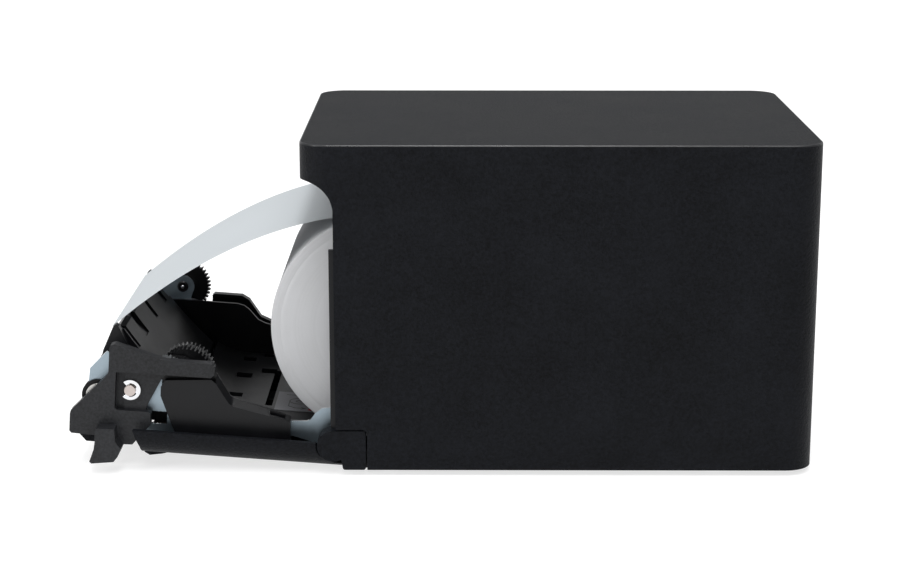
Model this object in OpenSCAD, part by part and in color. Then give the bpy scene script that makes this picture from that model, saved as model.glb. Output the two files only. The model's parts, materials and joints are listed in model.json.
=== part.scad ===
// Front-loading receipt printer with its front cover folded open.
// Millimetres, +Z up, front towards -Y, right side +X.
// The origin lies on the table, under the centre of the four holes in the base.

/* [Case] */
// Width of the case
case_w = 130; // [128:0.5:134]
// Depth of the case
case_d = 180; // [178:1:190]
// Height of the case shell, without its feet
case_h = 115.8; // [114:0.2:118]
// Height of the shell's lower edge above the table
case_lift = 2.2; // [1.8:0.1:3]
// Wall thickness of the case
case_t = 2.4; // [2:0.1:2.6]
// Radius of the four upright corners
corner_r = 10; // [8:0.5:11]
// Depth of the nose that hangs over the cover
nose_depth = 11.7; // [11:0.1:12.5]
// Height of the nose's front face
nose_h = 12.8; // [12:0.2:13]

/* [Cover] */
// Angle at which the open cover rises outwards
open_tilt = 4.2; // [3:0.1:5]
// Length of the cover's outer panel, from the hinge axis
panel_len = 70.6; // [69:0.1:71]
// Wall thickness of the outer panel
panel_t = 2.2; // [1.8:0.1:2.4]
// Distance of the outer face from the hinge axis
face_drop = 9.4; // [9:0.1:9.6]
// Radius of the hinge knuckle
knuckle_r = 5.6; // [5:0.1:5.8]
// Radius of the hinge pins
hinge_pin_r = 2; // [1.5:0.1:2.5]

/* [Paper] */
// Width of the paper
paper_w = 79.5; // [79:0.5:80]
// Radius of the full roll
roll_r = 41.3; // [30:0.1:41.5]
// Outer radius of the cardboard core
core_r = 9; // [8:0.5:10]
// Wall thickness of the core
core_t = 2.6; // [1:0.1:3]
// Thickness of the loose strip's stand-in
strip_t = 0.4; // [0.3:0.1:0.6]

/* [Drive] */
// Radius of the platen's rubber
platen_r = 5.5; // [5:0.1:5.6]
// Backlash at each pair of flanks
backlash = 0.12; // [0.08:0.02:0.16]
// Radial running clearance of shafts
run_gap = 0.05; // [0.03:0.01:0.08]

/* [Base] */
// Spacing of the base's fixing holes across
base_hole_x = 96; // [94:1:98]
// Spacing of the base's fixing holes front to back
base_hole_y = 100; // [96:1:104]
// Radius of the fixing holes
base_hole_r = 1.65; // [1.5:0.05:2]
// Height of the fixing bosses' faces above the table
boss_z = 0.6; // [0.4:0.1:1]

/* [Hidden] */

$fn = 48;
eps = 0.01;

// The gears, all of one module
gear_m = 0.5;
platen_teeth = 24;
idler_teeth = 16;
feed_teeth = 42;
pinion_teeth = 12;
wheel_teeth = 38;
cutter_teeth = 15;

// The case
half_w = case_w / 2;
front_y = -case_d / 2;
back_y = case_d / 2;
top_z = case_lift + case_h;
side_edge_y = front_y + nose_depth;
nose_z = top_z - nose_h;
inner_x = half_w - case_t;
roof_z = top_z - case_t;

// The base plate and the inner walls
plate_t = 2.2;
plate_z = case_lift + plate_t;
plate_front_y = front_y + 15;
wall_x = 60.4;
wall_t = 1.8;
liner_lip = 1.8;
liner_top_z = 80.9;

// The hinge axis, and the turn that takes a point of the cover's own frame
// (u outwards, v towards the inside of the printer) to the open pose
hinge_y = front_y + 10.7;
hinge_z = 10.8;
close_angle = 90 - open_tilt;
face_v = -face_drop;
skin_v = face_v + panel_t;
side_v = 0.6;
skin_end_u = -3.4;
cheek_x = 58;
cheek_back_y = hinge_y + 11.6;
cheek_top_z = hinge_z + 5.6;
cheek_r = 1.2;
cheek_gap = 0.5;

// The cover's frame plates
frame_x = 52;
frame_t = 1.2;
tray_x = 55;
tray_t = 2;
liner_x = 44.6;
body_x = 40;

// Axes in the cover's frame, as [u, v]
platen_at = [84.7, 9.3];
feed_at = [69, 24.5];
wheel_at = [54.7, 17.8];
lever_at = [72.9, 13.1];
tooth_w = 2;
gear_x = -frame_x - frame_t - 0.4 - tooth_w;
wheel_x = 41;
wheel_t = 6.6;
rack_x = 44.6;
rack_t = 3;
stud_r = 1.5;
idler_stud_r = 1.2;
shaft_r = 3;
lever_x0 = 54.6;
lever_x1 = 58.8;

function pitch_r(teeth) = teeth * gear_m / 2;
function length2(p) = sqrt(p[0] * p[0] + p[1] * p[1]);
function toward(a, b) = atan2(b[1] - a[1], b[0] - a[0]);
function polar(p, r, angle) = [p[0] + r * cos(angle), p[1] + r * sin(angle)];

// Points along an arc
function arc(centre, r, a0, a1, steps = 5) =
    [for (i = [0:steps]) polar(centre, r, a0 + (a1 - a0) * i / steps)];

// The third corner of a triangle on a and b, at ra from a and rb from b
function corner(a, b, ra, rb, side) =
    let (d = length2(b - a), turn = acos((d * d + ra * ra - rb * rb) / (2 * d * ra)))
    polar(a, ra, toward(a, b) + side * turn);

idler_at = corner(feed_at, platen_at, pitch_r(feed_teeth) + pitch_r(idler_teeth),
    pitch_r(idler_teeth) + pitch_r(platen_teeth), -1);
pinion_at = polar(feed_at, pitch_r(feed_teeth) + pitch_r(pinion_teeth), -105);
cutter_at = polar(wheel_at, pitch_r(wheel_teeth) + pitch_r(cutter_teeth), -53.4);

// The angle of a driven gear's tooth that meshes with its driver
function meshed(from, to, driver_teeth, driver_angle, teeth) =
    toward(from, to) + 180 + 180 / teeth
    - (driver_angle - toward(from, to)) * driver_teeth / teeth;

platen_angle = 0;
idler_angle = meshed(platen_at, idler_at, platen_teeth, platen_angle, idler_teeth);
feed_angle = meshed(idler_at, feed_at, idler_teeth, idler_angle, feed_teeth);
pinion_angle = meshed(feed_at, pinion_at, feed_teeth, feed_angle, pinion_teeth);
wheel_angle = 0;
cutter_angle = meshed(wheel_at, cutter_at, wheel_teeth, wheel_angle, cutter_teeth);

// Cutter
blade_t = 1;
blade_back_u = 70;
blade_tip_u = 90.4;
blade_half_w = 41;
rack_pitch_v = cutter_at[1] - pitch_r(cutter_teeth);

// The roll at the mouth of the open printer
roll_y = front_y + 28.8;
roll_z = 47.3;
roll_travel = 36;
floor_z = roll_z - roll_r - 0.3;
bucket_x = 41.6;
bucket_t = 1.8;
bucket_back_y = roll_y + roll_travel;

// Window for the connectors in the back wall, as [x, z]
window_low = [-50, 13];
window_high = [50, 40];

// Buttons and lens in the nose's front, as [left, right]
button_gap = 0.25;
button_h = 4.4;
button_z = nose_z + 3;
button_places = [[-52, -43], [-39, -27]];
lens_x = [-22, 6];

// The head above the closed cover's platen
head_tilt = 15;
head_gap = 0.35;
closed_platen_y = hinge_y + platen_at[1];
closed_platen_z = hinge_z + platen_at[0];

// Screws
screw_head_r = 2.6;
screw_r = 1.25;

// A slice along X from a drawing whose axes are Y and Z
module side_slice(x0, x1) {
    translate([x0, 0, 0]) rotate([90, 0, 90])
        linear_extrude(x1 - x0) children();
}

// The cover's own frame, laid at the open pose
module on_cover() {
    translate([0, hinge_y, hinge_z]) rotate([-open_tilt, 0, 0]) children();
}

// A slice along X from a drawing whose axes are u and v
module cover_slice(x0, x1) {
    on_cover() translate([x1, 0, 0]) rotate([90, 0, -90])
        linear_extrude(x1 - x0) children();
}

// A cylinder along X at a point of the cover's frame
module cover_rod(at, x0, x1, r) {
    on_cover() translate([x0, -at[0], at[1]]) rotate([0, 90, 0])
        cylinder(h = x1 - x0, r = r);
}

module x_rod(y, z, x0, x1, r) {
    translate([x0, y, z]) rotate([0, 90, 0]) cylinder(h = x1 - x0, r = r);
}

// A block given by its lowest and highest corners
module block(low, high) {
    translate(low) cube(high - low);
}

module pair() {
    children();
    mirror([1, 0, 0]) children();
}

// Outline with rounded corners, built from exact arcs
module rounded_box(w, d, r) {
    union() {
        square([w - 2 * r, d], center = true);
        square([w, d - 2 * r], center = true);
        for (sx = [-1, 1], sy = [-1, 1])
            translate([sx * (w / 2 - r), sy * (d / 2 - r)]) circle(r = r, $fn = 64);
    }
}

// One flank of an involute tooth, as [radius, half angle] up to the tip
function involute_angle(r, base) = r <= base ? 0
    : sqrt(r * r / (base * base) - 1) * 180 / PI - acos(base / r);

function tooth(teeth, angle) =
    let (
        pitch = pitch_r(teeth),
        base = pitch * cos(20),
        tip = pitch + gear_m * 0.95,
        root = pitch - gear_m * 1.25,
        start = max(base, root),
        thick = 90 / teeth - backlash / 2 / pitch * 180 / PI,
        half = thick + involute_angle(pitch, base),
        steps = 4,
        flank = [for (i = [0:steps]) let (r = start + (tip - start) * i / steps)
            [r, half - involute_angle(r, base)]]
    )
    concat(
        [polar([0, 0], root, angle - min(half + 1, 180 / teeth - 0.5))],
        [for (p = flank) polar([0, 0], p[0], angle - p[1])],
        [for (i = [steps:-1:0]) polar([0, 0], flank[i][0], angle + flank[i][1])],
        [polar([0, 0], root, angle + min(half + 1, 180 / teeth - 0.5))]
    );

module gear_outline(teeth, angle) {
    polygon([for (i = [0:teeth - 1]) each tooth(teeth, angle + i * 360 / teeth)]);
}

module cover_gear(at, x0, x1, teeth, angle, bore) {
    cover_slice(x0, x1) difference() {
        translate(at) gear_outline(teeth, angle);
        translate(at) circle(r = bore);
    }
}

// ---- Chassis ----

// The shell's side view: the mouth under the nose is cut away
module mouth_outline() {
    difference() {
        translate([front_y - 5, case_lift - 5])
            square([nose_depth + 5, case_h - nose_h + 5]);
        translate([front_y + nose_depth, nose_z]) mouth_corner(nose_depth - 0.9);
    }
}

// What a quarter circle leaves of a square corner
module mouth_corner(r) {
    difference() {
        translate([-r, -r]) square([r + eps, r + eps]);
        translate([-r, -r]) circle(r = r, $fn = 96);
    }
}

module case_cover() {
    color([0.13, 0.13, 0.14]) difference() {
        translate([0, 0, case_lift]) linear_extrude(case_h)
            rounded_box(case_w, case_d, corner_r);
        translate([0, 0, case_lift - 1]) linear_extrude(case_h - case_t + 1)
            rounded_box(case_w - 2 * case_t, case_d - 2 * case_t, corner_r - case_t);
        side_slice(-half_w - 1, half_w + 1) mouth_outline();
        // Cut-outs for the cheeks of the hinge
        pair() side_slice(cheek_x - 1, half_w + 1) cheek_cutout();
        // Window for the connectors
        block([window_low[0], back_y - 5, window_low[1]],
            [window_high[0], back_y + 1, window_high[1]]);
        // Openings in the nose for the buttons and the lens
        for (b = button_places)
            block([b[0] - button_gap, front_y - 1, button_z - button_gap],
                [b[1] + button_gap, front_y + 5, button_z + button_h + button_gap]);
        block([lens_x[0] - eps, front_y - 1, button_z + 0.8],
            [lens_x[1] + eps, front_y + 5, button_z + button_h - 0.8]);
    }
}

module cheek_cutout() {
    r = cheek_r + cheek_gap;
    polygon(concat(
        [[front_y, case_lift - 1], [front_y, cheek_top_z + cheek_gap]],
        arc([cheek_back_y - cheek_r, cheek_top_z - cheek_r], r, 90, 0),
        [[cheek_back_y + cheek_gap, case_lift - 1]]
    ));
}

module foot_places() {
    for (sx = [-1, 1], y = [front_y + 26, back_y - 20])
        translate([sx * 48, y, 0]) children();
}

module base_screw_places() {
    for (sx = [-1, 1], y = [front_y + 30, back_y - 34])
        translate([sx * 57, y, 0]) children();
}

module base_frame() {
    boss_h = case_lift + 6 - boss_z;
    color([0.1, 0.1, 0.11]) difference() {
        union() {
            block([-inner_x + 0.2, plate_front_y, case_lift],
                [inner_x - 0.2, back_y - corner_r - 1, plate_z]);
            block([-inner_x + corner_r, back_y - corner_r - 1 - eps, case_lift],
                [inner_x - corner_r, back_y - case_t - 0.3, plate_z]);
            // Ribs that carry the bucket's back
            for (sx = [-1, 1])
                block([sx * 50 - 1, bucket_back_y - 20, plate_z - eps],
                    [sx * 50 + 1, back_y - 24, plate_z + 10]);
            // Bosses round the fixing holes
            for (sx = [-1, 1], sy = [-1, 1])
                translate([sx * base_hole_x / 2, sy * base_hole_y / 2, boss_z])
                    cylinder(h = boss_h, r = 3.4);
        }
        for (sx = [-1, 1], sy = [-1, 1])
            translate([sx * base_hole_x / 2, sy * base_hole_y / 2, 0])
                cylinder(h = boss_h + 2, r = base_hole_r);
        // Sockets for the feet
        foot_places() translate([0, 0, case_lift - 1]) cylinder(h = 1.8, r = 6);
        base_screw_places() translate([0, 0, case_lift - 1])
            cylinder(h = 1.8, r = screw_head_r + 0.2);
        base_screw_places() translate([0, 0, case_lift - 1])
            cylinder(h = plate_t + 2, r = screw_r + 0.15);
    }
}

module inner_wall() {
    color([0.07, 0.07, 0.08]) difference() {
        side_slice(wall_x, wall_x + wall_t) polygon([
            [side_edge_y - liner_lip, cheek_top_z + 0.6],
            [side_edge_y - liner_lip, liner_top_z],
            [side_edge_y + 1.6, liner_top_z],
            [side_edge_y + 1.6, roof_z - 4],
            [back_y - 14, roof_z - 4],
            [back_y - 14, plate_z],
            [cheek_back_y + 0.6, plate_z],
            [cheek_back_y + 0.6, cheek_top_z + 0.6]
        ]);
        ear_screw_places() x_rod(0, 0, wall_x - 1, wall_x + wall_t + 1, screw_r);
    }
}

module inner_wall_right() {
    difference() {
        inner_wall();
        base_hooks();
    }
}

module inner_wall_left() {
    mirror([1, 0, 0]) inner_wall_right();
}

// Slots through which the wall's hooks would snap on the plate
module base_hooks() {
    for (y = [front_y + 60, front_y + 110])
        block([wall_x - 1, y, plate_z + 3], [wall_x + wall_t + 1, y + 8, plate_z + 5]);
}

module hinge_cheek_right() {
    foot_r = 0.9;
    color([0.09, 0.09, 0.1]) difference() {
        union() {
            x_rod(hinge_y, hinge_z, cheek_x, half_w, knuckle_r);
            side_slice(cheek_x, half_w) polygon(concat(
                [[hinge_y, cheek_top_z]],
                arc([cheek_back_y - cheek_r, cheek_top_z - cheek_r], cheek_r, 90, 0),
                arc([cheek_back_y - foot_r, case_lift + foot_r], foot_r, 0, -90),
                arc([hinge_y + 3.4 + foot_r, case_lift + foot_r], foot_r, -90, -180),
                [[hinge_y + 2.9, hinge_z - 4.7]]
            ));
        }
        x_rod(hinge_y, hinge_z, cheek_x - 1, half_w - 2, hinge_pin_r + run_gap);
        block([cheek_x - 1, plate_front_y - 0.2, case_lift - 1],
            [inner_x - 0.1, cheek_back_y + 1, plate_z + 0.1]);
    }
}

module hinge_cheek_left() {
    mirror([1, 0, 0]) hinge_cheek_right();
}

module roll_bucket() {
    outer_r = roll_r + 0.8 + 1.2;
    inner_r = roll_r + 0.8;
    back_z = roll_z + 8;
    floor_t = 1.2;
    color([0.08, 0.08, 0.09]) union() {
        block([-bucket_x, plate_front_y + 0.5, floor_z - floor_t],
            [bucket_x, bucket_back_y, floor_z]);
        intersection() {
            difference() {
                x_rod(bucket_back_y, roll_z, -bucket_x, bucket_x, outer_r);
                x_rod(bucket_back_y, roll_z, -bucket_x - 1, bucket_x + 1, inner_r);
            }
            block([-bucket_x, bucket_back_y, floor_z - floor_t],
                [bucket_x, bucket_back_y + outer_r, back_z]);
        }
        // Cheeks beside the roll
        pair() side_slice(bucket_x - eps, bucket_x + bucket_t) polygon([
            [front_y + 24, floor_z - floor_t],
            [front_y + 24, floor_z + 8],
            [front_y + 44, floor_z + 22],
            [front_y + 62, roll_z + 22],
            [bucket_back_y + outer_r, roll_z + 22],
            [bucket_back_y + outer_r, floor_z - floor_t]
        ]);
    }
}

ear_y = [front_y + 52, front_y + 62];
ear_z = [roof_z - 26, roof_z - 10];

module ear_screw_places() {
    for (z = ear_z)
        translate([0, (ear_y[0] + ear_y[1]) / 2, z]) children();
}

bracket_top_z = roof_z - 4.4;
bracket_t = 1.2;
flange_y = front_y + 8;

module head_bracket() {
    color([0.6, 0.62, 0.65]) difference() {
        union() {
            block([-wall_x + 0.1, front_y + 13, bracket_top_z - bracket_t],
                [wall_x - 0.1, front_y + 66, bracket_top_z]);
            block([-50, flange_y, bracket_top_z - bracket_t],
                [50, front_y + 13 + eps, bracket_top_z]);
            block([-50, flange_y, nose_z - 1.2],
                [50, flange_y + 1, bracket_top_z]);
            pair() block([wall_x - 0.1 - bracket_t, ear_y[0] - 3, roof_z - 32],
                [wall_x - 0.1, ear_y[1] + 3, bracket_top_z]);
        }
        pair() ear_screw_places() x_rod(0, 0, wall_x - 3, wall_x + 1, screw_r + 0.1);
        for (x = [-30, 0, 30]) translate([x, front_y + 52, bracket_top_z - 3])
            cylinder(h = 6, r = 3);
    }
}

// Puts its children over the closed cover's platen, Z away from it
module on_head() {
    translate([0, closed_platen_y, closed_platen_z]) rotate([-head_tilt, 0, 0])
        children();
}

head_z = platen_r + head_gap;
head_t = 1;
sink_t = 3.6;
sink_half_w = 45;

module thermal_head() {
    color([0.85, 0.83, 0.78]) on_head()
        block([-42, -5.5, head_z], [42, 5.5, head_z + head_t]);
}

module head_heatsink() {
    color([0.66, 0.67, 0.69]) on_head() difference() {
        block([-sink_half_w, -5.8, head_z + head_t], [sink_half_w, 9, head_z + head_t + sink_t]);
        for (x = [-36:6:36])
            block([x - 1, -7, head_z + head_t + 2], [x + 1, 10, head_z + head_t + sink_t + 1]);
    }
}

module head_springs() {
    color([0.75, 0.75, 0.78]) for (x = [-27, 3, 33])
        translate([x, closed_platen_y + 5.5, 0])
            for (z = [0:1])
                translate([0, 0, bracket_top_z - bracket_t - 0.35 - z * 0.62])
                    rotate_extrude($fn = 32) translate([2.4, 0]) circle(r = 0.25, $fn = 16);
}

module fixed_blade() {
    color([0.78, 0.79, 0.8]) block([-43, flange_y + 1 + eps, nose_z - 2.6],
        [43, flange_y + 2, nose_z + 1.9]);
}

module exit_guide() {
    color([0.09, 0.09, 0.1]) difference() {
        block([-54.6, front_y + case_t + 0.1, nose_z - 0.4], [54.6, flange_y - 0.1, nose_z + 1]);
        block([-41.5, front_y + 1, nose_z - 1], [41.5, front_y + 4.1, nose_z + 2]);
        for (x = [-50, 50]) translate([x, front_y + 5.2, nose_z - 1]) cylinder(h = 4, r = 1);
    }
}

// A thin bar with saw teeth, for tearing by hand
module tear_bar() {
    pitch = 1.5;
    teeth = 54;
    half = pitch * teeth / 2;
    color([0.8, 0.81, 0.82]) translate([0, front_y + 4.1, nose_z + 0.2])
        rotate([90, 0, 0]) linear_extrude(0.6) polygon(concat(
            [for (i = [0:teeth - 1]) each [
                [-half + i * pitch, 0.5], [-half + (i + 0.5) * pitch, -0.8]]],
            [[half, 0.5], [half, 0.8], [-half, 0.8], [-half, 0.5]]
        ));
}

board_y = back_y - 16;
board_t = 1.6;

module main_board() {
    color([0.1, 0.35, 0.2]) difference() {
        union() {
            block([-54, board_y, plate_z + 3], [54, board_y + board_t, plate_z + 84]);
            // Chips and capacitors on the side of the roll
            block([-20, board_y - 2, 50], [-4, board_y + eps, 66]);
            block([12, board_y - 1.6, 60], [26, board_y + eps, 70]);
            for (x = [-42, -33]) translate([x, board_y + eps, 70]) rotate([90, 0, 0])
                cylinder(h = 6, r = 3.2);
        }
        for (sx = [-1, 1], z = [plate_z + 7, plate_z + 80])
            translate([sx * 50, board_y - 1, z]) rotate([-90, 0, 0])
                cylinder(h = 4, r = 1.6);
    }
}

module control_board() {
    color([0.1, 0.35, 0.2]) union() {
        block([-56, front_y + 6.4, nose_z + 1.4], [10, front_y + 7.4, roof_z - 0.4]);
        for (b = button_places)
            block([(b[0] + b[1]) / 2 - 1.5, front_y + 5.2, button_z + 0.8],
                [(b[0] + b[1]) / 2 + 1.5, front_y + 6.4 + eps, button_z + 3.6]);
    }
}

module status_lens() {
    color([0.5, 0.7, 0.9]) block([lens_x[0], front_y + 0.2, button_z + 0.8 + eps],
        [lens_x[1], front_y + 5.2, button_z + button_h - 0.8 - eps]);
}

module push_button(b) {
    color([0.16, 0.16, 0.17]) union() {
        block([b[0], front_y - 0.6, button_z], [b[1], front_y + 3.4, button_z + button_h]);
        block([b[0] - 0.8, front_y + case_t + 0.1, button_z - 0.7],
            [b[1] + 0.8, front_y + 3.4, button_z + button_h + 0.7]);
    }
}

module power_button() {
    push_button(button_places[0]);
}

module feed_button() {
    push_button(button_places[1]);
}

panel_y = back_y - 9;
// Sockets in the rear panel, as [left, right, bottom, top]
dc_box = [32, 45, 18, 31];
usb_box = [12, 25, 18, 31];
lan_box = [-14, 3, 18, 33];
drawer_box = [-42, -26, 18, 32];

module connector_panel() {
    t = 1.6;
    sockets = [dc_box, usb_box, lan_box, drawer_box];
    color([0.1, 0.1, 0.11]) difference() {
        union() {
            block([window_low[0] - 3, panel_y, window_low[1] - 3],
                [window_high[0] + 3, panel_y + t, window_high[1] + 3]);
            // The rim that meets the case's back wall
            difference() {
                block([window_low[0] - 3, panel_y, window_low[1] - 3],
                    [window_high[0] + 3, back_y - case_t - 0.1, window_high[1] + 3]);
                block([window_low[0], panel_y - 1, window_low[1]],
                    [window_high[0], back_y + 1, window_high[1]]);
            }
        }
        for (s = sockets)
            block([s[0] - 0.2, panel_y - 1, s[2] - 0.2], [s[1] + 0.2, panel_y + t + 1, s[3] + 0.2]);
    }
}

// A socket's housing with its mouth to the back
module socket(s, wall, hollow) {
    front = board_y + board_t + 0.1;
    difference() {
        block([s[0], front, s[2]], [s[1], panel_y + 3, s[3]]);
        block([s[0] + wall, panel_y + 4 - hollow, s[2] + wall],
            [s[1] - wall, panel_y + 5, s[3] - wall]);
    }
}

module dc_jack() {
    color([0.08, 0.08, 0.09]) socket(dc_box, 2, 8.5);
}

module usb_port() {
    color([0.75, 0.76, 0.78]) socket(usb_box, 1.6, 8.5);
}

module lan_port() {
    color([0.75, 0.76, 0.78]) socket(lan_box, 1.8, 8.5);
}

module drawer_port() {
    color([0.12, 0.12, 0.13]) socket(drawer_box, 1.8, 8.5);
}

// Flat cable from the head to the main board
module head_cable() {
    t = 0.4;
    y0 = front_y + 34;
    z0 = bracket_top_z - bracket_t - 1.6;
    color([0.85, 0.85, 0.82]) side_slice(-14, 14) polygon([
        [y0, z0], [board_y - 5, z0], [board_y - 5, z0 - 22], [board_y, z0 - 22],
        [board_y, z0 - 22 - t], [board_y - 5 - t, z0 - 22 - t],
        [board_y - 5 - t, z0 - t], [y0, z0 - t]
    ]);
}

module cover_switch() {
    color([0.15, 0.15, 0.16]) union() {
        block([wall_x - 7, front_y + 50, roof_z - 45], [wall_x - 0.1, front_y + 64, roof_z - 37]);
        block([wall_x - 5, front_y + 47, roof_z - 44], [wall_x - 3, front_y + 50 + eps, roof_z - 43]);
    }
}

module near_end_sensor() {
    color([0.12, 0.12, 0.13]) block([bucket_x + bucket_t + 0.1, front_y + 74, roll_z - 22],
        [bucket_x + bucket_t + 7, front_y + 86, roll_z - 8]);
}

module rubber_feet() {
    color([0.06, 0.06, 0.06]) foot_places() cylinder(h = case_lift + 0.8, r = 5.9);
}

// A screw whose head points down
module screw_down(z_head, length) {
    difference() {
        union() {
            translate([0, 0, z_head]) cylinder(h = 1.4, r = screw_head_r);
            translate([0, 0, z_head]) cylinder(h = length, r = screw_r);
        }
        block([-1.6, -0.3, z_head - 1], [1.6, 0.3, z_head + 0.7]);
        block([-0.3, -1.6, z_head - 1], [0.3, 1.6, z_head + 0.7]);
    }
}

module base_screws() {
    color([0.7, 0.7, 0.72]) base_screw_places() screw_down(case_lift - 0.6, 2.7);
}

// Heads on the inner faces of the bracket's ears
module bracket_screws() {
    color([0.7, 0.7, 0.72]) pair() ear_screw_places() union() {
        x_rod(0, 0, wall_x - 0.1 - bracket_t - 1.4, wall_x - 0.1 - bracket_t, screw_head_r);
        x_rod(0, 0, wall_x - 2, wall_x + wall_t, screw_r);
    }
}

// ---- Cover ----

// Outer wall of the closed cover, seen from above: flat front, round corners
module panel_shell(inset, v_top) {
    r = corner_r - inset - 0.1;
    w = case_w - 0.4 - 2 * inset;
    // drawn across X and v, extruded along u
    union() {
        translate([-w / 2 + r, face_v + inset]) square([w - 2 * r, v_top - face_v - inset]);
        translate([-w / 2, face_v + inset + r]) square([w, v_top - face_v - inset - r]);
        for (sx = [-1, 1])
            translate([sx * (w / 2 - r), face_v + inset + r]) circle(r = r, $fn = 64);
    }
}

// Extrudes a drawing of X and v along u
module along_u(u0, u1) {
    on_cover() translate([0, -u0, 0]) rotate([90, 0, 0]) linear_extrude(u1 - u0) children();
}

module cover_panel() {
    color([0.12, 0.12, 0.13]) difference() {
        union() {
            difference() {
                along_u(skin_end_u, panel_len) intersection() {
                    panel_shell(0, side_v + 10);
                    translate([-half_w, face_v - 1]) square([case_w, side_v - face_v + 1]);
                }
                along_u(skin_end_u - 1, panel_len + 1) panel_shell(panel_t, side_v + 20);
            }
            // The grip lip along the panel's end
            cover_slice(-54, 54) polygon([
                [56, face_v + 0.2], [61, face_v - 1.4], [65.5, face_v - 2.2],
                [67.4, face_v - 1.2], [67.8, skin_v], [56, skin_v]
            ]);
            // Ribs inside the skin
            for (x = [-44:22:44]) cover_slice(x - 0.8, x + 0.8)
                polygon([[8, skin_v - 0.2], [60, skin_v - 0.2], [58, skin_v + 3], [10, skin_v + 3]]);
        }
        // The slanted end
        cover_slice(-half_w, half_w) polygon([
            [70.7, side_v + 1], [70.6, 0.4], [68.2, face_v + 3.6], [67.6, face_v + 0.4],
            [67.6, face_v - 4], [80, face_v - 4], [80, side_v + 1]
        ]);
        // Room for the knuckles
        pair() cover_rod([0, 0], cheek_x - 0.6, half_w + 1, knuckle_r + 0.5);
        pair() cover_slice(cheek_x - 0.6, half_w + 1) polygon([
            [-6, 2], [knuckle_r + 0.5, 2], [knuckle_r + 0.5, 0], [2, -5.8],
            [-0.6, face_v + 2.2], [-6, face_v + 2.2]
        ]);
    }
}

module front_band() {
    right = 50;
    color([0.12, 0.12, 0.13]) union() {
        cover_slice(-62, right) polygon([
            [71.4, face_v + 1.4], [73, face_v], [89, face_v], [91.4, face_v + 2.4],
            [91.4, -1], [89.6, -1], [89.6, face_v + 4], [87.6, skin_v],
            [73.6, skin_v], [73.6, -1], [71.4, -1]
        ]);
        for (x = [-61.8, -40, -20, 0, 20, 40, right - 2])
            cover_slice(x, x + 1.6) polygon([
                [72, face_v + 1.6], [88, face_v + 1.6], [90.4, face_v + 4], [90.4, -1],
                [72, -1]
            ]);
    }
}

tray_floor_v = 1;
// Square holes in the tray's floor, as [x, u, size]
tray_holes = [[-35, 39, 5], [-12, 39, 6], [-20, 30, 6], [14, 39.5, 5], [-42, 32, 4], [30, 35, 5]];

// A side wall's outline, with its top raised
function wall_edge(rise) = [
    [56, -3], [62.2, 11.6], [62.2, 15 + rise], [60.8, 17.4 + rise], [44.6, 18.8 + rise],
    [43, 17.6 + rise], [37.9, 10.4 + rise * 0.8], [36.4, 9.6 + rise * 0.8], [15.9, 5.4 + rise * 0.5],
    [15.5, -3]
];

// The left wall's top, from its outer end towards the hinge
left_wall_top = [
    [57.2, 21.2], [56.4, 22], [45.2, 22], [42.2, 20.4], [37.1, 13.8], [32.4, 12]
];

module inner_tray() {
    curve_r = 26;
    skin = 1.8;
    liner_t = 1.4;
    color([0.08, 0.08, 0.09]) difference() {
        union() {
            // Floor with its outer end curved up
            cover_slice(-50.4, 50.4) polygon(concat(
                [[5, tray_floor_v]],
                arc([40, tray_floor_v + curve_r], curve_r, -90, -60),
                arc([40, tray_floor_v + curve_r], curve_r + skin, -60, -90),
                [[5, tray_floor_v - skin]]
            ));
            // Ledges under the frame plates, and the walls inside them
            pair() cover_slice(49, tray_x + tray_t) polygon([
                [15.5, -3], [56, -3], [56, -1.5], [15.5, -1.5]]);
            pair() cover_slice(49, 50.4) polygon([
                [15.5, -3], [50, -3], [50, tray_floor_v], [15.5, tray_floor_v]]);
            // Right wall: low outside, where the lever lies over it, and higher inside
            cover_slice(tray_x - 0.6, tray_x + tray_t) polygon(wall_edge(0));
            cover_slice(frame_x + frame_t + 0.1, tray_x - 0.6 + eps) polygon(concat(
                [for (i = [2:8]) wall_edge(3)[i]],
                [for (i = [8:-1:2]) wall_edge(3)[i] - [0, 4]]));
            // Left wall, with a lip along its top
            cover_slice(-tray_x - tray_t, -tray_x) polygon(concat(
                [[15.5, -3], [56, -3], [57.2, 12]], left_wall_top, [[15.9, 7]]));
            cover_slice(-tray_x - eps, -frame_x - frame_t - 0.3) polygon(concat(
                left_wall_top, [for (i = [5:-1:0]) left_wall_top[i] - [0.8, 1.2]]));
            // The wall that hides the feed motor
            cover_slice(-liner_x - liner_t, -liner_x) polygon([
                [15.5, 0], [15.9, 6], [31.8, 13], [34.6, 13.6], [37.4, 14.8], [41.4, 18.9], [43.4, 20.2],
                [46, 20.8], [69, 20.8], [74.6, 20.6], [75.6, 19.6], [75.6, 1.4], [54.6, 1.4],
                [50, 0.6], [40, 0]
            ]);
        }
        for (h = tray_holes)
            on_cover() block([h[0] - h[2] / 2, -h[1] - h[2] / 2, -5],
                [h[0] + h[2] / 2, -h[1] + h[2] / 2, 4]);
        // The slot across the floor, and the one in the rim
        on_cover() block([-21, -27.6, -5], [25, -25, 2]);
        cover_slice(tray_x - 1, tray_x + 0.4) polygon([
            [17.8, 4.2], [17.8, 12], [23.2, 13], [23.2, 5.2]]);
    }
}

module tray_label() {
    color([0.75, 0.76, 0.8]) on_cover() block([7, -23.8, tray_floor_v + 0.02],
        [30, -8.6, tray_floor_v + 0.22]);
}

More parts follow.
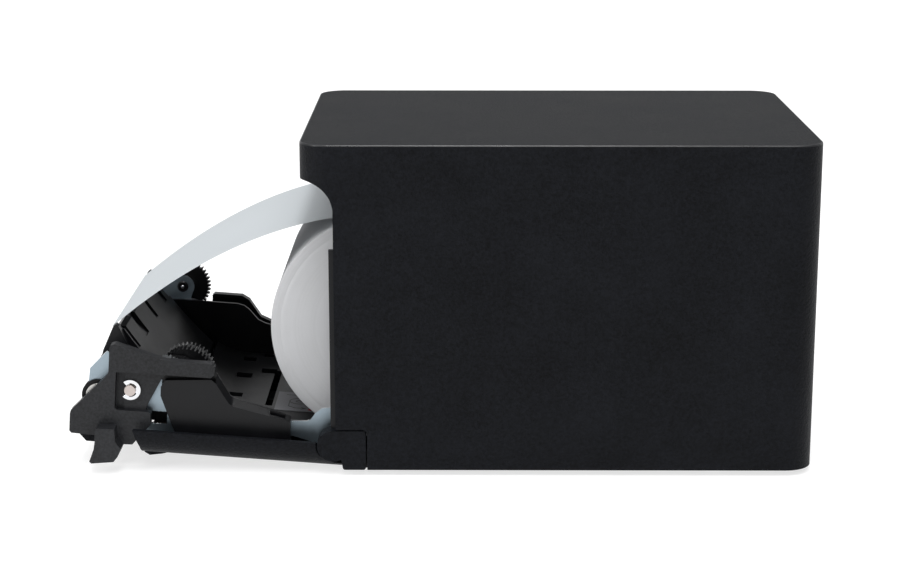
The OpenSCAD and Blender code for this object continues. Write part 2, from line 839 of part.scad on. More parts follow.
// Side plate of the steel frame, up to v 25 beside the platen
module frame_plate(low) {
    difference() {
        polygon([
            [-5.4, -3.6], [-1, -4.4], [4, -3.4], [15, -0.9], [56, -0.9], [58, low], [82, low],
            [88, max(low, -0.8)], [91.4, 1.6], [91.4, 6], [88.4, 12], [88, 18.8], [84.6, 22.8],
            [82.1, 25.6], [80.8, 24.4], [75, 19.4], [60, 18.4], [57, 14], [52, 5.2],
            [15.7, 4.7], [10.2, 4.9], [8.8, 5.8], [7.2, 8.5], [5.2, 10], [2, 10.6],
            [-2, 10.6], [-4.6, 8]
        ]);
        circle(r = hinge_pin_r);
        translate(platen_at) circle(r = 4.6);
        translate(lever_at) circle(r = 2);
    }
}

module cover_frame() {
    lobe_r = 4.6;
    color([0.52, 0.55, 0.6]) union() {
        // Right plate, with the wheel's bracket and a window by the lever
        cover_slice(frame_x, frame_x + frame_t) difference() {
            union() {
                frame_plate(-3.4);
                translate(wheel_at) circle(r = lobe_r);
                polygon(concat([[50.4, 14], [57.4, 13.6], [63, 18.4]], guard_edge));
            }
            translate(wheel_at) circle(r = stud_r);
            translate([60, 0.2]) square([6.4, 4.5]);
        }
        // The guard over the wheel
        cover_slice(frame_x - 3.6, frame_x + eps) polygon(concat(
            guard_edge, [for (i = [3:-1:0]) guard_edge[i] - [0, 0.5]]));
        cover_slice(-frame_x - frame_t, -frame_x) difference() {
            union() {
                frame_plate(-0.9);
                translate(feed_at) circle(r = lobe_r);
                polygon([[64.4, 24.5], [66, 18], [76, 18], [80.6, 24.8], [69, 29.1]]);
            }
            translate(feed_at) circle(r = stud_r);
            translate(idler_at) circle(r = idler_stud_r);
            translate(pinion_at) circle(r = 3.6);
        }
        // Cross plate under the tray
        cover_slice(-frame_x - eps, frame_x + eps) polygon([
            [30, -4.2], [52, -4.2], [52, -3.2], [30, -3.2]
        ]);
        pair() cover_slice(frame_x - eps, frame_x + frame_t) polygon([
            [29, -4.2], [58, -4.2], [58, -0.9 + eps], [56, -0.9 + eps], [56, -3.2], [29, -3.2]
        ]);
    }
}

// The guard's edge over the cutter wheel
guard_edge = [[63.1, 24.2], [59.2, 24.6], [55.5, 24.5], [52.6, 23.2]];

module horn() {
    polygon([
        [74.6, 18], [76.8, 26.2], [80, 32.2], [81, 32.8], [81.8, 32.2], [85.2, 22.8], [85.6, 20]
    ]);
}

// The paper guide from the tray's end up to the ridge
guide_low = [54.4, 5.4];
guide_high = [78.4, 30.4];
guide_bend = 6;
guide_r = length2(guide_high - guide_low) / 2 / sin(guide_bend);
guide_from = toward(guide_low, guide_high) - guide_bend;
guide_centre = polar(guide_low, guide_r, guide_from + 90);
guide_edge = arc(guide_centre, guide_r, guide_from - 90, guide_from - 90 + 2 * guide_bend, 8);
// Slots down the guide, as [x, width]
guide_slots = [[-38.5, 3], [-30, 5], [-6, 4], [19, 7], [37.4, 3]];

// Block behind the platen: trough, sloping paper guide and its ridge
module mech_body() {
    trough_r = platen_r + 0.9;
    color([0.07, 0.07, 0.08]) difference() {
        union() {
            cover_slice(-body_x, body_x) polygon(concat(
                [[78.6, 1.2], [78.6, 2.4], [76.6, 4], [76.6, 16], [85.8, 17.4], [86.2, 19],
                    [82, 29.4], [80.6, 30.6]],
                [for (i = [8:-1:0]) guide_edge[i]],
                [[guide_low[0], 1.2]]
            ));
            // Solid ends that carry the horns
            for (x = [body_x - 2, -body_x - 3.4])
                cover_slice(x, x + 5.4) polygon([
                    [67, 1.2], [78.6, 1.2], [78.6, 4], [77, 6], [77, 16], [86, 17.4], [86.2, 20],
                    [83, 26], [76, 24.6], [67, 16]
                ]);
            for (x = [body_x + 0.2, -body_x - 3.2])
                cover_slice(x, x + 3) horn();
            cover_slice(-1.5, 1.5) polygon([[78.4, 28], [80.6, 31.4], [81.6, 31.2], [83, 27]]);
        }
        // The tunnel that holds the cutter motor, and the hollow under the ridge
        cover_rod(cutter_at, -body_x + 2, body_x - 2, cutter_motor_r + 0.2);
        cover_slice(-body_x + 2, body_x - 2) polygon([
            [67.4, 1], [75.2, 1], [75.2, 17], [79, 18.4], [79, 25.6], [76.6, 24.6], [67.4, 14.6]
        ]);
        cover_rod(platen_at, -60, 60, trough_r);
        cover_rod(cutter_at, 0, 60, 2.6);
        for (g = guide_slots) cover_slice(g[0] - g[1] / 2, g[0] + g[1] / 2) polygon([
            [81, 31.4], [77.6, 27.2], [73, 23], [72.2, 24.2], [76, 29.4], [79.4, 32.4]
        ]);
    }
}

module hinge_pins() {
    color([0.7, 0.71, 0.73]) pair() cover_rod([0, 0], frame_x - 0.6, half_w - 2.4, hinge_pin_r);
}

feed_motor_r = 8.4;
cutter_motor_r = 3.1;

module feed_motor() {
    color([0.55, 0.56, 0.58]) difference() {
        union() {
            cover_rod(pinion_at, -frame_x + 0.05, -liner_x - 1.8, feed_motor_r);
            cover_rod(pinion_at, -frame_x - frame_t, -frame_x + 1, 3.5);
        }
        cover_rod(pinion_at, -frame_x - frame_t - 1, -frame_x + 4.6, 0.8);
    }
}

module cutter_motor() {
    color([0.6, 0.61, 0.63]) difference() {
        union() {
            cover_rod(cutter_at, 4, body_x - 2.2, cutter_motor_r);
            cover_rod(cutter_at, body_x - 2.2 - eps, body_x + 0.6, 2.4);
        }
        cover_rod(cutter_at, body_x - 8, body_x + 2, 0.8);
    }
}

bushing_x1 = frame_x + frame_t + 0.9;
disc_r = 4.35;
disc_x0 = frame_x + frame_t + 0.2;

// Bushings in both plates; the right one has a ring outside that frames the shaft's disc
module platen_bushings() {
    color([0.1, 0.1, 0.11]) difference() {
        union() {
            pair() cover_rod(platen_at, frame_x - 1.4, frame_x + frame_t, 4.6);
            pair() cover_rod(platen_at, frame_x - 1.4, frame_x - 0.05, 5.8);
            cover_rod(platen_at, frame_x + frame_t, bushing_x1, 5.8);
        }
        cover_rod(platen_at, -frame_x - 3, frame_x + 3, shaft_r + run_gap);
        cover_rod(platen_at, disc_x0 - 0.1, bushing_x1 + 1, disc_r + 0.15);
    }
}

module platen_shaft() {
    slot_w = 0.9;
    color([0.72, 0.73, 0.75]) difference() {
        union() {
            cover_rod(platen_at, -frame_x + 1.6, frame_x - 1.6, 2.6);
            cover_rod(platen_at, -frame_x - 4, -frame_x + 2, shaft_r);
            cover_rod(platen_at, frame_x - 2, disc_x0 + eps, shaft_r);
            cover_rod(platen_at, disc_x0, bushing_x1, disc_r);
        }
        on_cover() translate([bushing_x1 - 0.4, -platen_at[0] - slot_w / 2, platen_at[1] - 5])
            cube([1, slot_w, 10]);
    }
}

module platen_roller() {
    color([0.16, 0.16, 0.17]) difference() {
        cover_rod(platen_at, -body_x - 1, body_x + 1, platen_r);
        cover_rod(platen_at, -body_x - 2, body_x + 2, 2.6);
    }
}

module platen_gear() {
    color([0.12, 0.12, 0.12]) cover_gear(platen_at, gear_x, gear_x + tooth_w,
        platen_teeth, platen_angle, shaft_r);
}

module idler_gear() {
    color([0.12, 0.12, 0.12]) cover_gear(idler_at, gear_x, gear_x + tooth_w,
        idler_teeth, idler_angle, idler_stud_r + run_gap);
}

module feed_gear() {
    color([0.08, 0.08, 0.08]) cover_gear(feed_at, gear_x, gear_x + tooth_w,
        feed_teeth, feed_angle, stud_r + run_gap);
}

module motor_pinion() {
    color([0.75, 0.68, 0.45]) union() {
        cover_gear(pinion_at, gear_x, gear_x + tooth_w, pinion_teeth, pinion_angle, 0.7);
        cover_rod(pinion_at, gear_x, -frame_x + 4, 0.75);
    }
}

module gear_studs() {
    color([0.7, 0.71, 0.73]) union() {
        cover_rod(feed_at, gear_x - 0.4, -frame_x - 0.1, stud_r);
        cover_rod(idler_at, gear_x - 0.4, -frame_x - 0.1, idler_stud_r);
        cover_rod(wheel_at, wheel_x - 0.4, frame_x + frame_t, stud_r);
    }
}

module cutter_wheel() {
    color([0.1, 0.1, 0.1]) union() {
        cover_gear(wheel_at, wheel_x, wheel_x + wheel_t, wheel_teeth, wheel_angle, stud_r + run_gap);
        cover_slice(wheel_x + wheel_t - eps, frame_x - 0.3) translate(wheel_at) difference() {
            circle(r = 3);
            circle(r = stud_r + run_gap);
        }
    }
}

module cutter_pinion() {
    color([0.75, 0.68, 0.45]) union() {
        cover_gear(cutter_at, rack_x, rack_x + rack_t, cutter_teeth, cutter_angle, 0.7);
        cover_gear(cutter_at, wheel_x, rack_x + eps, cutter_teeth, cutter_angle, 0.7);
        cover_rod(cutter_at, body_x - 6, rack_x + rack_t, 0.75);
    }
}

module cutter_blade() {
    color([0.8, 0.81, 0.83]) on_cover() translate([0, 0, -blade_t / 2])
        linear_extrude(blade_t) polygon(concat(
            [[-blade_half_w, -blade_back_u], [-blade_half_w, -blade_tip_u]],
            [[0, -blade_tip_u + 2.4]],
            [[blade_half_w, -blade_tip_u], [blade_half_w, -blade_back_u]]
        ));
}

// Rack teeth point to the pinion; they are in mesh with it at rest
module cutter_rack() {
    pitch = PI * gear_m;
    // A rack tooth sits in the gap of the pinion that points at the rack
    turn = (cutter_angle + 90) / 360 * cutter_teeth;
    shift = (turn - floor(turn) + 0.5) * pitch;
    half = pitch / 4 - backlash / 2;
    slope = tan(20);
    color([0.3, 0.3, 0.32]) union() {
        cover_slice(rack_x, rack_x + rack_t) polygon(concat(
            [[cutter_at[0] - 6.8, -0.5], [cutter_at[0] - 6.8, rack_pitch_v - gear_m * 1.25]],
            [for (i = [-4:4]) let (c = cutter_at[0] + shift + i * pitch) each [
                [c - half - slope * gear_m * 1.25, rack_pitch_v - gear_m * 1.25],
                [c - half + slope * gear_m * 0.95, rack_pitch_v + gear_m * 0.95],
                [c + half - slope * gear_m * 0.95, rack_pitch_v + gear_m * 0.95],
                [c + half + slope * gear_m * 1.25, rack_pitch_v - gear_m * 1.25]
            ]],
            [[cutter_at[0] + 9, rack_pitch_v - gear_m * 1.25], [cutter_at[0] + 9, -0.5]]
        ));
        cover_slice(blade_half_w - 3, rack_x + rack_t) polygon([
            [blade_back_u - 2, -0.5], [blade_back_u, -0.5], [blade_back_u, 0.5],
            [blade_back_u - 2, 0.5]
        ]);
        cover_slice(rack_x, rack_x + rack_t) polygon([
            [cutter_at[0], -0.5], [blade_back_u, -0.5], [blade_back_u, 0.5], [cutter_at[0], 0.5]
        ]);
    }
}

web_x = lever_x0 + 2;
clip_t = 0.65;

module lever_shaft() {
    groove = [web_x + 0.25, web_x + 0.35 + clip_t];
    color([0.72, 0.66, 0.62]) difference() {
        cover_rod(lever_at, frame_x - 1, groove[1] + 0.9, 2);
        // Groove for the clip
        difference() {
            cover_rod(lever_at, groove[0], groove[1], 3);
            cover_rod(lever_at, groove[0] - 0.1, groove[1] + 0.1, 1.5);
        }
    }
}

// An E-clip: a ring with a mouth, and three fingers that hold the shaft's groove
module clip_outline() {
    difference() {
        circle(r = 3.7);
        circle(r = 1.52);
        polygon([[0, 0], polar([0, 0], 8, 46), polar([0, 0], 8, -46)]);
        for (s = [-1, 1]) polygon(concat(
            arc([0, 0], 2.45, s * 84, s * 152), arc([0, 0], 1, s * 152, s * 84)));
    }
}

module lever_clip() {
    color([0.8, 0.8, 0.82]) cover_slice(web_x + 0.3, web_x + 0.3 + clip_t)
        translate(lever_at) clip_outline();
}

module lever_spring() {
    color([0.7, 0.71, 0.73]) on_cover() for (i = [0:1])
        translate([frame_x + frame_t + 0.35 + i * 0.52, -lever_at[0], lever_at[1]]) rotate([0, 90, 0])
            rotate_extrude($fn = 32) translate([2.6, 0]) circle(r = 0.22, $fn = 14);
}

module frame_screws() {
    color([0.7, 0.7, 0.72]) union() {
        for (at = [[56.5, 6], [24, 1.6], [44, 1.6]]) {
            cover_rod(at, frame_x + frame_t + 0.02, frame_x + frame_t + 1, 1.5);
            cover_rod(at, -frame_x - frame_t - 1, -frame_x - frame_t - 0.02, 1.5);
        }
    }
}

// The lever: bar, column to the outer foot, and the leg with the tab
module release_lever() {
    color([0.15, 0.15, 0.16]) difference() {
        union() {
            cover_slice(lever_x0, lever_x1) difference() {
                polygon([
                    [43.3, 23.6], [44.6, 25], [60.6, 25], [78.7, 29.8], [80.2, 29.3], [80.6, 28],
                    [80.6, 19.4], [81.6, 17.6], [93.4, 4.5], [93.7, 3.4], [93.7, -3], [93, -3.8],
                    [84.8, -4.1], [77.4, -4.3], [76.8, -6.8], [71.2, -6.6], [65.2, 1], [65.2, 4.9],
                    [66.1, 5.8], [67.4, 6.1], [64.9, 11.7], [62.2, 17.4], [60.4, 19.8], [44.6, 19.9],
                    [43.3, 21.2]
                ]);
                translate(lever_at) circle(r = 2 + run_gap);
            }
            // The finger tab, flush with the case's side
            cover_slice(lever_x0 - 0.8, half_w - 0.2) polygon([
                [83.6, -4], [83.9, -7.4], [85.3, -12], [84.6, -12.7], [76.8, -11.6], [75.4, -9.6],
                [74.4, -6.6], [76.4, -4.2]
            ]);
            cover_slice(lever_x1 - eps, half_w - 0.2) polygon([
                [83.5, 0.2], [83.8, -4.2], [76.4, -4.4], [77, 0.5]
            ]);
        }
        // The recess round the pivot, and the deeper groove beside it
        cover_slice(web_x, lever_x1 + 1) polygon([
            [78, 19.7], [78, 6.6], [77.1, 5.8], [58, 5.8], [58, 19.9]
        ]);
        cover_slice(web_x - 0.8, lever_x1 + 1) polygon([
            [78, 19.7], [78, 6.6], [77.1, 5.8], [75, 5.8], [75, 19.7]
        ]);
    }
}

// ---- Paper ----

module roll_core() {
    color([0.62, 0.5, 0.36]) difference() {
        x_rod(roll_y, roll_z, -paper_w / 2 - 0.4, paper_w / 2 + 0.4, core_r - run_gap);
        x_rod(roll_y, roll_z, -paper_w, paper_w, core_r - core_t);
    }
}

module paper_roll() {
    color([0.95, 0.95, 0.96]) difference() {
        x_rod(roll_y, roll_z, -paper_w / 2, paper_w / 2, roll_r, $fn = 128);
        x_rod(roll_y, roll_z, -paper_w, paper_w, core_r);
    }
}

strip_drop = 0.00429;
strip_end = 98.6;
strip_steps = 14;

// The paper leaves the roll's top and droops to the cover's ridge
function strip_point(i, lift) =
    let (s = strip_end * i / strip_steps)
    [roll_y - s, roll_z + roll_r + 0.4 + lift - strip_drop * s * s];

module paper_strip() {
    color([0.9, 0.92, 0.95]) side_slice(-paper_w / 2, paper_w / 2) polygon(concat(
        [for (i = [0:strip_steps]) strip_point(i, 0)],
        [for (i = [strip_steps:-1:0]) strip_point(i, strip_t)]
    ));
}

case_cover();
base_frame();
inner_wall_right();
inner_wall_left();
hinge_cheek_right();
hinge_cheek_left();
roll_bucket();
head_bracket();
head_springs();
fixed_blade();
exit_guide();
tear_bar();
main_board();
control_board();
status_lens();
connector_panel();
dc_jack();
usb_port();
lan_port();
drawer_port();
head_cable();
cover_switch();
near_end_sensor();
rubber_feet();
base_screws();
bracket_screws();
thermal_head();
head_heatsink();
cover_panel();
front_band();
inner_tray();
tray_label();
cover_frame();
mech_body();
hinge_pins();
feed_motor();
cutter_motor();
platen_bushings();
lever_shaft();
lever_clip();
lever_spring();
gear_studs();
frame_screws();
platen_shaft();
platen_roller();
platen_gear();
idler_gear();
feed_gear();
motor_pinion();
cutter_wheel();
cutter_pinion();
cutter_blade();
cutter_rack();
release_lever();
feed_button();
power_button();
roll_core();
paper_roll();
paper_strip();
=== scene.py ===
"""A receipt printer with its front cover folded open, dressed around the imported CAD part."""
import bpy
import bmesh
import json
import math
import random
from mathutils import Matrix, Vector


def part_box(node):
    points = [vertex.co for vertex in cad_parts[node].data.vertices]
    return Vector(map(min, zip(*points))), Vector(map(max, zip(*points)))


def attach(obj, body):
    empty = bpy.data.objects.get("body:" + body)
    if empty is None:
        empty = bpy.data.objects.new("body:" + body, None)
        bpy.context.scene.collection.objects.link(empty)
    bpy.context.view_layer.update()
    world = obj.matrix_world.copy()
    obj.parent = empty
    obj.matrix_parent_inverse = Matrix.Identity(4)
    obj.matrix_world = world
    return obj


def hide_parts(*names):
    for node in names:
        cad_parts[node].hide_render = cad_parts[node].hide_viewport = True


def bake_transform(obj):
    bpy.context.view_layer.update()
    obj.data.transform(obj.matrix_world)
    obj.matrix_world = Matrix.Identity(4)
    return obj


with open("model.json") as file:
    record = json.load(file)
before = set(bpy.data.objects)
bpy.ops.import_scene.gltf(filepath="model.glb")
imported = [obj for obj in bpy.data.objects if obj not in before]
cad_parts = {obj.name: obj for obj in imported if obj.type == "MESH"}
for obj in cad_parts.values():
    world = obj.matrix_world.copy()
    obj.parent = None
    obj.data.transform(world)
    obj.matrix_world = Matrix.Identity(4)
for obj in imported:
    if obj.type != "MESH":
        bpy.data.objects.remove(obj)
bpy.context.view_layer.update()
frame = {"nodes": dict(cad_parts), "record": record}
scene = bpy.context.scene
MM = 0.001

# Places and sizes are in millimetres, and angles in degrees unless a name says otherwise
ROLL_Y, ROLL_Z, ROLL_R, ROLL_HALF = -61.2, 47.3, 41.3, 39.75
CORE_OUTER, CORE_INNER, CORE_HALF = 8.95, 6.4, 40.15

# The loose paper falls from the roll's top along a parabola, s being how far out a point is
STRIP_TOP, STRIP_DROP, LEAD_END, STRIP_END = 89.15, 0.00429, 10.5, 98.5

# The cover's own frame: u runs outwards from the hinge, v towards the inside
HINGE_Y, HINGE_Z = -79.3, 10.8
TILT = math.radians(4.2)
FEED_STUD_AT = (69, 24.5)
LEVER_AT = (72.9, 13.1)

# The top of the drawing on the tray's label, and how thick its lines are
INK_V, INK_DEPTH = 1.27, 0.05

# The slope inside the right wall, as the (u, v) of its outer and its inner edge
SLOPE_OUTER = [(43.0, 17.55), (37.9, 10.35), (36.4, 9.55), (23.4, 6.9), (17.8, 5.75), (16.0, 5.4)]
SLOPE_INNER = [(42.9, 20.5), (37.8, 12.75), (36.3, 11.95), (23.4, 8.7), (17.8, 7.3), (16.0, 6.9)]
SLOPE_X, SLOPE_FOOT_X, SLOPE_INNER_X, SLOPE_DEPTH = 56.98, 56.9, 54.3, 0.6
RIM_SLOT_X, RIM_SLOT_V = 56.1, 0.5


def on_cover(x, u, v):
    """A point of the open cover, in metres, from millimetres in the cover's frame."""
    return Vector((x, HINGE_Y - u * math.cos(TILT) + v * math.sin(TILT),
                   HINGE_Z + u * math.sin(TILT) + v * math.cos(TILT))) * MM


def in_world(x, y, z):
    return Vector((x, y, z)) * MM


# ---- Materials ----

def nodes_of(name):
    mat = bpy.data.materials.new(name)
    mat.use_nodes = True
    tree = mat.node_tree
    return mat, tree, tree.nodes["Principled BSDF"]


def coordinates(tree, per_mm=(1, 1, 1)):
    """Object coordinates in millimetres, times per_mm."""
    coords = tree.nodes.new("ShaderNodeTexCoord")
    scaled = tree.nodes.new("ShaderNodeMapping")
    scaled.inputs["Scale"].default_value = [1000 * s for s in per_mm]
    tree.links.new(coords.outputs["Object"], scaled.inputs["Vector"])
    return scaled.outputs["Vector"]


def noise(tree, vector, scale, detail=3.0, rough=0.55):
    node = tree.nodes.new("ShaderNodeTexNoise")
    node.inputs["Scale"].default_value = scale
    node.inputs["Detail"].default_value = detail
    node.inputs["Roughness"].default_value = rough
    tree.links.new(vector, node.inputs["Vector"])
    return node.outputs["Fac"]


def cells(tree, vector, scale, feature="F1"):
    node = tree.nodes.new("ShaderNodeTexVoronoi")
    node.feature = feature
    node.inputs["Scale"].default_value = scale
    tree.links.new(vector, node.inputs["Vector"])
    return node.outputs["Distance"]


def maths(tree, operation, a, b):
    node = tree.nodes.new("ShaderNodeMath")
    node.operation = operation
    for socket, value in zip(node.inputs, (a, b)):
        if isinstance(value, (int, float)):
            socket.default_value = value
        else:
            tree.links.new(value, socket)
    return node.outputs[0]


def spread(tree, value, low, high, start=0.3, end=0.7):
    node = tree.nodes.new("ShaderNodeMapRange")
    for key, number in (("From Min", start), ("From Max", end), ("To Min", low), ("To Max", high)):
        node.inputs[key].default_value = number
    tree.links.new(value, node.inputs["Value"])
    return node.outputs["Result"]


def blend_colours(tree, factor, first, second):
    node = tree.nodes.new("ShaderNodeMix")
    node.data_type = "RGBA"
    tree.links.new(factor, node.inputs["Factor"])
    for key, colour in ((6, first), (7, second)):
        if isinstance(colour, (tuple, list)):
            node.inputs[key].default_value = (*colour, 1)
        else:
            tree.links.new(colour, node.inputs[key])
    return node.outputs[2]


def bump(tree, shader, height, depth_mm):
    node = tree.nodes.new("ShaderNodeBump")
    node.inputs["Strength"].default_value = 1
    node.inputs["Distance"].default_value = depth_mm * MM
    tree.links.new(height, node.inputs["Height"])
    tree.links.new(node.outputs["Normal"], shader.inputs["Normal"])


def shade(rgb, factor):
    return tuple(min(1.0, c * factor) for c in rgb)


def surface(name, rgb, rough, metal=0.0, level=0.5, grain=2.0, depth=0.01, mottle=0.12,
            brushed=None, patch=0.06, coat=0.0):
    """A moulded, cast or brushed surface: mottled colour, uneven gloss and a fine grain."""
    mat, tree, shader = nodes_of(name)
    vector = coordinates(tree)
    fine = noise(tree, coordinates(tree, brushed) if brushed else vector, grain, 4)
    broad = noise(tree, vector, patch, 2)
    mixed = maths(tree, "MULTIPLY_ADD", broad, 0.6)
    mixed.node.inputs[2].default_value = 0.0
    tree.links.new(maths(tree, "MULTIPLY", fine, 0.4), mixed.node.inputs[2])
    colour = blend_colours(tree, spread(tree, mixed, 0, 1), shade(rgb, 1 - mottle),
                           shade(rgb, 1 + mottle))
    tree.links.new(colour, shader.inputs["Base Color"])
    tree.links.new(spread(tree, mixed, rough - 0.06, rough + 0.06), shader.inputs["Roughness"])
    shader.inputs["Metallic"].default_value = metal
    shader.inputs["Specular IOR Level"].default_value = level
    shader.inputs["Coat Weight"].default_value = coat
    bump(tree, shader, fine, depth)
    return mat


def spark_plastic(name, rgb, rough, level, depth=0.05):
    """The case's plastic: a fine spark-eroded texture of small pits and grains."""
    mat, tree, shader = nodes_of(name)
    vector = coordinates(tree)
    pits = cells(tree, vector, 1.5, "SMOOTH_F1")
    grains = noise(tree, vector, 1.1, 4, 0.7)
    cloud = noise(tree, vector, 0.035, 3)
    height = maths(tree, "ADD", maths(tree, "MULTIPLY", pits, 0.5), maths(tree, "MULTIPLY", grains, 0.8))
    tone = maths(tree, "ADD", maths(tree, "MULTIPLY", grains, 0.75), maths(tree, "MULTIPLY", cloud, 0.25))
    tree.links.new(blend_colours(tree, spread(tree, tone, 0, 1, 0.35, 0.65), shade(rgb, 0.3),
                                 shade(rgb, 1.9)), shader.inputs["Base Color"])
    tree.links.new(spread(tree, tone, rough - 0.05, rough + 0.07), shader.inputs["Roughness"])
    shader.inputs["Specular IOR Level"].default_value = level
    bump(tree, shader, height, depth)
    return mat


def roll_paper():
    """The roll's wound edges: faint rings of tone and height round its axis."""
    mat, tree, shader = nodes_of("wound_paper_edge")
    vector = coordinates(tree)
    offset = tree.nodes.new("ShaderNodeVectorMath")
    offset.operation = "SUBTRACT"
    offset.inputs[1].default_value = (0, ROLL_Y, ROLL_Z)
    tree.links.new(vector, offset.inputs[0])
    flat = tree.nodes.new("ShaderNodeVectorMath")
    flat.operation = "MULTIPLY"
    flat.inputs[1].default_value = (0, 1, 1)
    tree.links.new(offset.outputs[0], flat.inputs[0])
    length = tree.nodes.new("ShaderNodeVectorMath")
    length.operation = "LENGTH"
    tree.links.new(flat.outputs[0], length.inputs[0])
    radius = tree.nodes.new("ShaderNodeCombineXYZ")
    tree.links.new(length.outputs["Value"], radius.inputs["X"])
    rings = noise(tree, radius.outputs[0], 0.9, 5, 0.75)
    cloud = noise(tree, vector, 0.06, 3)
    tone = maths(tree, "ADD", maths(tree, "MULTIPLY", rings, 0.6), maths(tree, "MULTIPLY", cloud, 0.4))
    tree.links.new(blend_colours(tree, spread(tree, tone, 0, 1, 0.38, 0.62), (0.545, 0.55, 0.56),
                                 (0.58, 0.585, 0.60)), shader.inputs["Base Color"])
    shader.inputs["Roughness"].default_value = 0.75
    shader.inputs["Specular IOR Level"].default_value = 0.2
    bump(tree, shader, rings, 0.012)
    return mat


PALETTE = {
    "case_plastic": spark_plastic("spark_plastic", (0.0044, 0.0049, 0.0064), 0.46, 0.09, 0.3),
    "frame_plastic": surface("satin_black_plastic", (0.0048, 0.005, 0.006), 0.34, level=0.24,
                             grain=1.3, depth=0.06, mottle=0.4),
    "lever_plastic": spark_plastic("charcoal_plastic", (0.0105, 0.011, 0.0125), 0.42, 0.28, 0.08),
    "gear_plastic": surface("acetal_plastic", (0.0035, 0.0035, 0.004), 0.3, level=0.2,
                            grain=3, depth=0.006),
    "sheet_steel": surface("zinc_coated_steel", (0.33, 0.40, 0.45), 0.4, metal=1.0, grain=0.8,
                           depth=0.004, mottle=0.08, patch=0.15),
    "blade_steel": surface("ground_blade_steel", (0.60, 0.61, 0.63), 0.26, metal=1.0, grain=1.2,
                           depth=0.004, mottle=0.06, brushed=(0.1, 3, 3)),
    "spring_steel": surface("bright_spring_steel", (0.74, 0.75, 0.77), 0.2, metal=1.0, grain=1.5,
                            depth=0.003, mottle=0.05),
    "shaft_steel": surface("turned_steel", (0.55, 0.49, 0.46), 0.36, metal=1.0, grain=1.4,
                           depth=0.006, mottle=0.1, brushed=(4, 0.5, 0.5)),
    "screw_steel": surface("nickel_plated_steel", (0.52, 0.53, 0.55), 0.3, metal=1.0, grain=2,
                           depth=0.004, mottle=0.08),
    "socket_shell": surface("tinned_shell", (0.62, 0.63, 0.65), 0.3, metal=1.0, grain=1.2,
                            depth=0.004, mottle=0.08),
    "motor_can": surface("drawn_motor_can", (0.42, 0.43, 0.45), 0.34, metal=1.0, grain=1.4,
                         depth=0.004, mottle=0.08, brushed=(3, 0.6, 0.6)),
    "heatsink_alloy": surface("extruded_alloy", (0.62, 0.63, 0.65), 0.4, metal=1.0, grain=1.2,
                              depth=0.006, mottle=0.06, brushed=(0.3, 2, 2)),
    "pinion_brass": surface("hobbed_brass", (0.66, 0.48, 0.22), 0.3, metal=1.0, grain=2,
                            depth=0.005, mottle=0.1),
    "head_ceramic": surface("glazed_ceramic", (0.62, 0.58, 0.5), 0.2, level=0.5, grain=2,
                            depth=0.003, mottle=0.05, coat=0.4),
    "circuit_board": surface("solder_mask", (0.012, 0.085, 0.035), 0.28, level=0.5, grain=1.4,
                             depth=0.01, mottle=0.2, coat=0.3),
    "lens": surface("smoked_lens", (0.03, 0.045, 0.055), 0.12, level=0.5, grain=1, depth=0.003,
                    coat=0.5),
    "flat_cable": surface("ribbon_cable", (0.62, 0.62, 0.57), 0.35, level=0.4, grain=1.2,
                          depth=0.01, brushed=(2.2, 0.05, 0.05), mottle=0.15),
    "foot_rubber": surface("foot_rubber_matt", (0.012, 0.012, 0.012), 0.75, level=0.25, grain=2.5,
                           depth=0.03, mottle=0.2),
    "platen_rubber": surface("ground_platen_rubber", (0.03, 0.03, 0.033), 0.6, level=0.3, grain=2.5,
                             depth=0.015, mottle=0.15, brushed=(0.4, 3, 3)),
    "core_card": surface("wound_card", (0.36, 0.27, 0.17), 0.85, level=0.2, grain=1.5, depth=0.03,
                         mottle=0.2, brushed=(1, 0.4, 0.4)),
    "thermal_paper": surface("coated_paper", (0.478, 0.508, 0.527), 0.55, level=0.3, grain=1.3,
                             depth=0.004, mottle=0.025, patch=0.03),
    "label_paper": surface("label_stock", (0.2, 0.2, 0.215), 0.45, level=0.35, grain=1.5,
                           depth=0.004, mottle=0.06),
}

# Finishes that only part of a piece has, or one piece of its slot
SMOOTH_RIM = surface("smooth_case_rim", (0.011, 0.0115, 0.013), 0.3, level=0.55, grain=1.2, depth=0.006)
CUT_EDGE = surface("polished_cut_edge", (0.86, 0.87, 0.88), 0.16, metal=1.0, grain=2.5, depth=0.003,
                   mottle=0.04)
BRIGHT_SHAFT = surface("bright_shaft_steel", (0.72, 0.71, 0.68), 0.3, metal=1.0, grain=1.4, depth=0.004)
RED_INK = surface("red_ink", (0.45, 0.015, 0.02), 0.5, level=0.3, grain=2, depth=0.003, mottle=0.1)


# ---- Mesh helpers ----

SLOTS = {s["node"]: s["material_slot"] for s in frame["record"]["subparts"]}
BODY_OF = {n: b for b, ns in frame["record"]["behaviour"]["bodies"].items() for n in ns}
SMOOTH_ANGLE = math.radians(32)


def piece(name, bm, body, slot, material=None, replaces=(), weighted=True):
    """Links a finished mesh as a piece that rides on a body, or on none if it's to bend."""
    mesh = bpy.data.meshes.new(name)
    bmesh.ops.recalc_face_normals(bm, faces=bm.faces)
    bm.to_mesh(mesh)
    bm.free()
    made = bpy.data.objects.new(name, mesh)
    scene.collection.objects.link(made)
    mesh.materials.append(material or PALETTE[slot])
    for polygon in mesh.polygons:
        polygon.use_smooth = True
    mesh.set_sharp_from_angle(angle=SMOOTH_ANGLE)
    if weighted:
        made.modifiers.new("weighted", "WEIGHTED_NORMAL").keep_sharp = True
    if body:
        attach(made, body)
    if replaces:
        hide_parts(*replaces)
    return made


# These have flat faces with holes, which can't be made whole as one outline each
HOLED_FACES = ("cover_panel",)


